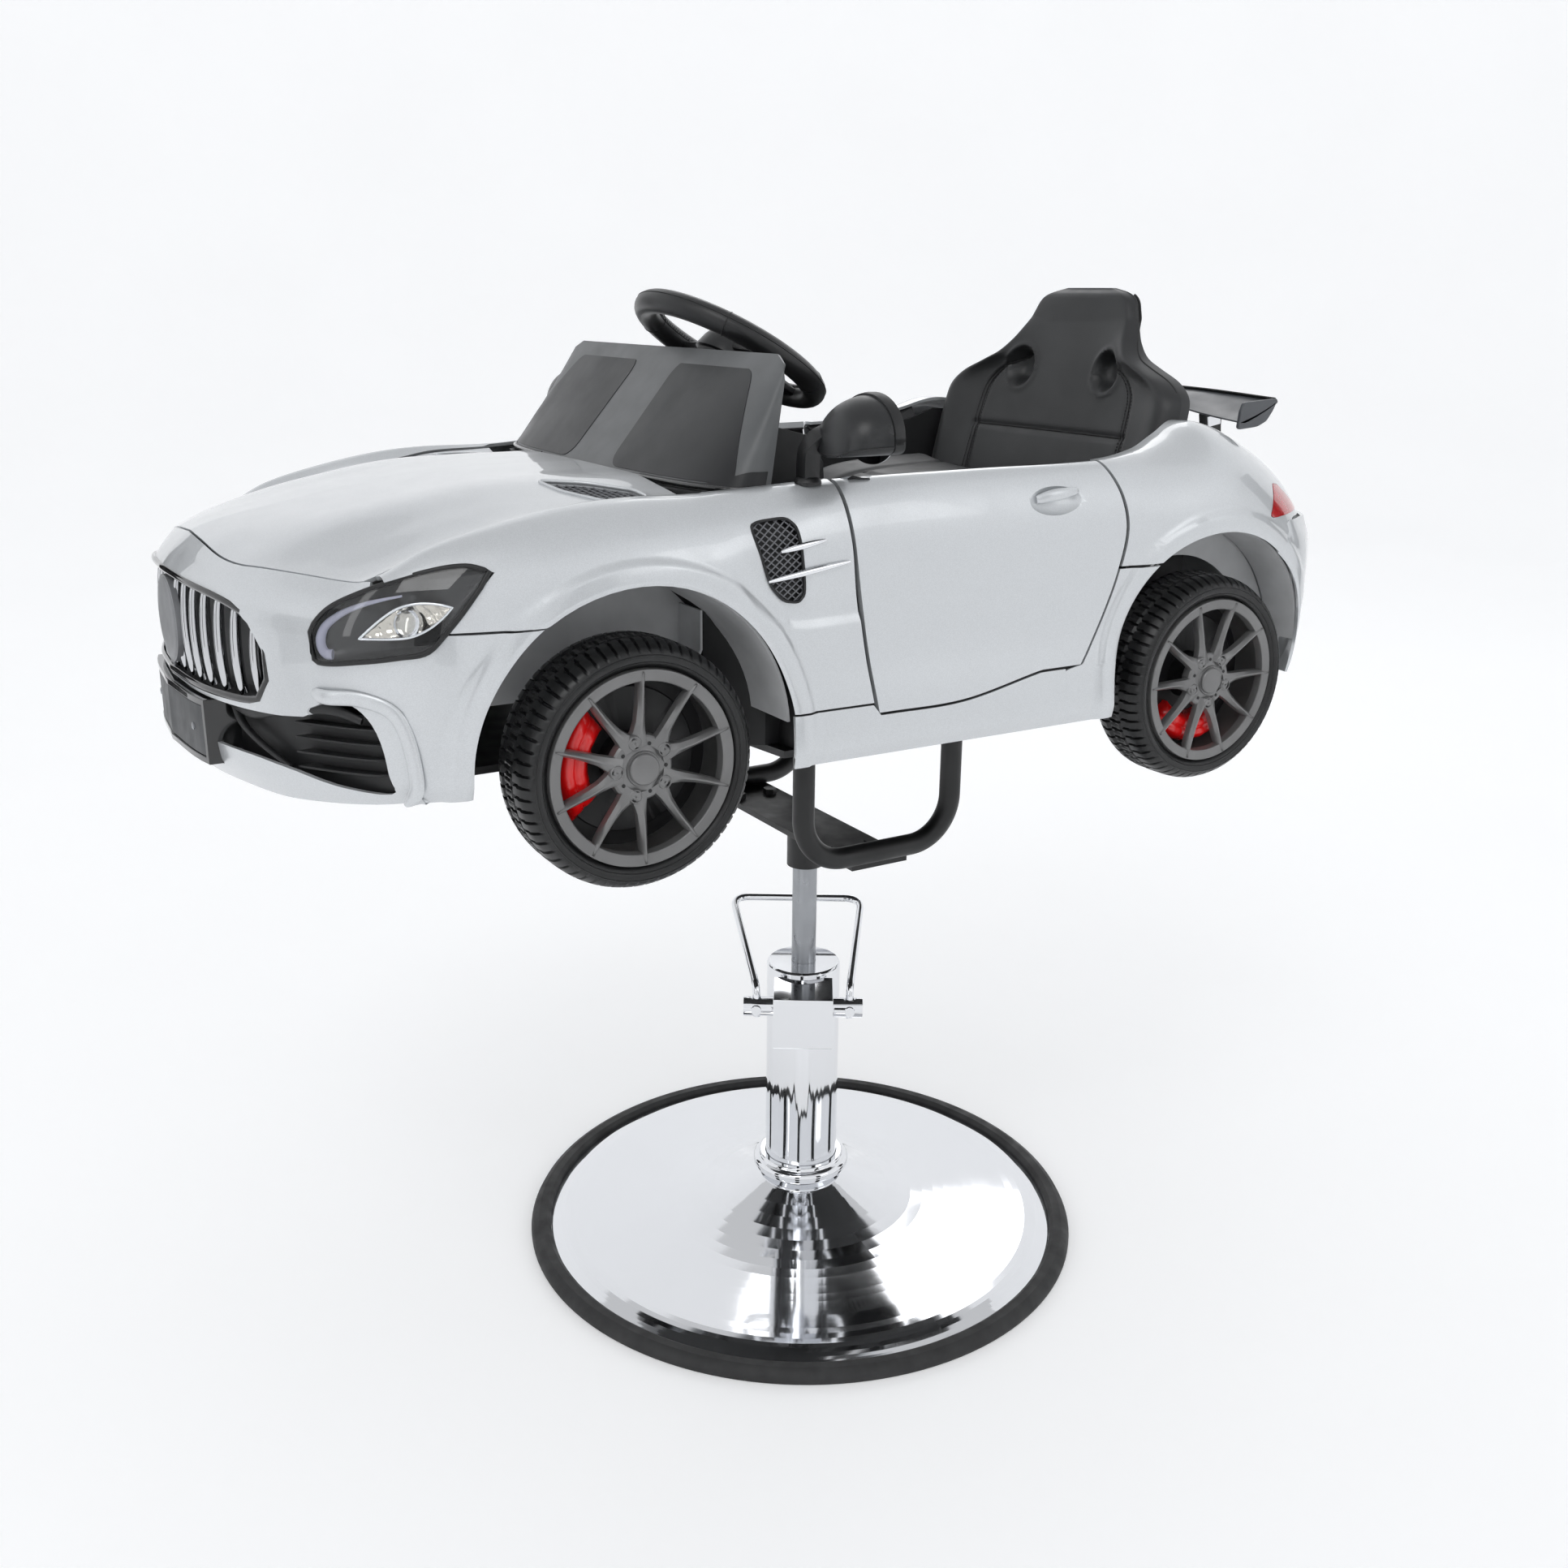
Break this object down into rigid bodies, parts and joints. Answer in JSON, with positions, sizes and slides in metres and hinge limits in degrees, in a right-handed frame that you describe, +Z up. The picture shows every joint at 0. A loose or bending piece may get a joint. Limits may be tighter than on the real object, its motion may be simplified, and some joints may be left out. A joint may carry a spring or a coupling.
{
  "type": "children's barber chair",
  "caption": "Children's barber chair shaped as a toy roadster, on a steel cradle that turns and rises on a pump with a round floor base.",
  "frame": {"origin": "on the floor, on the axis of the pump", "axes": "+Z up, -Y towards the car's nose, +X towards the car's left side"},
  "size_m": [0.602, 1.043, 0.965],
  "materials": {
    "chrome": "polished",
    "rubber": "matte",
    "black_steel": "satin",
    "bare_steel": "satin",
    "silver_body": "metallic gloss",
    "black_trim": "satin",
    "chrome_trim": "plated",
    "lamp_lens": "clear",
    "lamp_inner": "plated",
    "red_lens": "gloss",
    "smoked": "smoked gloss",
    "wing_grey": "metallic gloss",
    "upholstery": "matte",
    "grip": "stitched",
    "tyre": "matte",
    "rim": "gunmetal",
    "iron": "painted"
  },
  "bodies": {
    "base": {"base_disc": "chrome", "rubber_ring": "rubber", "flange_plate": "iron", "base_collar": "chrome", "pump_cover": "chrome", "pump_block": "chrome", "inner_cylinder": "bare_steel"},
    "lever": {"lever_shaft": "chrome", "foot_loop": "chrome"},
    "piston": {"piston_head": "bare_steel"},
    "car": {"lift_rod": "chrome", "socket_plate": "black_steel", "left_tube": "black_steel", "right_tube": "black_steel", "frame_bolts": "black_steel", "chassis_pan": "black_trim", "cockpit_tub": "black_trim", "dashboard": "black_trim", "windscreen": "smoked", "front_bumper": "silver_body", "grille_backing": "black_trim", "grille_bars": "chrome_trim", "lower_insert": "black_trim", "hood": "silver_body", "left_fender": "silver_body", "right_fender": "silver_body", "vent_meshes": "black_trim", "fender_strips": "chrome_trim", "lamp_bowls": "black_trim", "lamp_inners": "lamp_inner", "lamp_lenses": "lamp_lens", "side_skirts": "silver_body", "left_quarter": "silver_body", "right_quarter": "silver_body", "rear_deck": "silver_body", "rear_bumper": "silver_body", "tail_lamps": "red_lens", "rear_wing": "wing_grey", "seat_back": "upholstery", "seat_cushion": "upholstery", "left_mirror": "black_trim", "right_mirror": "black_trim", "rear_axle": "bare_steel"},
    "steering": {"steering_wheel": "grip", "steering_column": "bare_steel"},
    "tie_rod": {"tie_rod": "bare_steel"},
    "left_knuckle": {"left_knuckle": "bare_steel"},
    "right_knuckle": {"right_knuckle": "bare_steel"},
    "left_door": {"left_door": "silver_body"},
    "right_door": {"right_door": "silver_body"},
    "front_left_wheel": {"front_left_tyre": "tyre", "front_left_rim": "rim"},
    "front_right_wheel": {"front_right_tyre": "tyre", "front_right_rim": "rim"},
    "rear_left_wheel": {"rear_left_tyre": "tyre", "rear_left_rim": "rim"},
    "rear_right_wheel": {"rear_right_tyre": "tyre", "rear_right_rim": "rim"}
  },
  "joints": [
    {"name": "lever_swing", "type": "hinge", "parent": "base", "child": "lever", "pos_m": [0.0441, -0.02756, 0.268], "axis": [0.5299, 0.848, 0], "range_deg": [-25, 0]},
    {"name": "lift", "type": "slide", "parent": "base", "child": "piston", "axis": [0, 0, 1], "range_m": [-0.045, 0.075]},
    {"name": "swivel", "type": "hinge", "parent": "piston", "child": "car", "pos_m": [0, 0, 0.4], "axis": [0, 0, 1], "continuous": true},
    {"name": "steer", "type": "hinge", "parent": "car", "child": "steering", "pos_m": [0, -0.08703, 0.907], "axis": [0, 0.5, 0.866], "range_deg": [-45, 45]},
    {"name": "tie_slide", "type": "slide", "parent": "car", "child": "tie_rod", "axis": [1, 0, 0], "range_m": [-0.0125, 0.0125]},
    {"name": "left_knuckle_turn", "type": "hinge", "parent": "car", "child": "left_knuckle", "pos_m": [0.19044, -0.30898, 0.62], "axis": [0, 0, 1], "range_deg": [-16.5, 16.5]},
    {"name": "right_knuckle_turn", "type": "hinge", "parent": "car", "child": "right_knuckle", "pos_m": [-0.19044, -0.30898, 0.62], "axis": [0, 0, 1], "range_deg": [-16.5, 16.5]},
    {"name": "left_door_swing", "type": "hinge", "parent": "car", "child": "left_door", "pos_m": [0.25976, -0.09743, 0.6458], "axis": [-0.0702, -0.1434, 0.9872], "range_deg": [-50, 0]},
    {"name": "right_door_swing", "type": "hinge", "parent": "car", "child": "right_door", "pos_m": [-0.25976, -0.09743, 0.6458], "axis": [0.0702, -0.1434, 0.9872], "range_deg": [0, 50]},
    {"name": "front_left_spin", "type": "hinge", "parent": "left_knuckle", "child": "front_left_wheel", "pos_m": [0.24, -0.30898, 0.619], "axis": [1, 0, 0], "continuous": true},
    {"name": "front_right_spin", "type": "hinge", "parent": "right_knuckle", "child": "front_right_wheel", "pos_m": [-0.24, -0.30898, 0.619], "axis": [1, 0, 0], "continuous": true},
    {"name": "rear_left_spin", "type": "hinge", "parent": "car", "child": "rear_left_wheel", "pos_m": [0.24, 0.27202, 0.619], "axis": [1, 0, 0], "continuous": true},
    {"name": "rear_right_spin", "type": "hinge", "parent": "car", "child": "rear_right_wheel", "pos_m": [-0.24, 0.27202, 0.619], "axis": [1, 0, 0], "continuous": true}
  ],
  "couplings": [
    {"joint": "tie_slide", "follows": "steer", "m_per_rad": -0.01575},
    {"joint": "left_knuckle_turn", "follows": "steer", "ratio": 0.3556},
    {"joint": "right_knuckle_turn", "follows": "steer", "ratio": 0.3556}
  ]
}
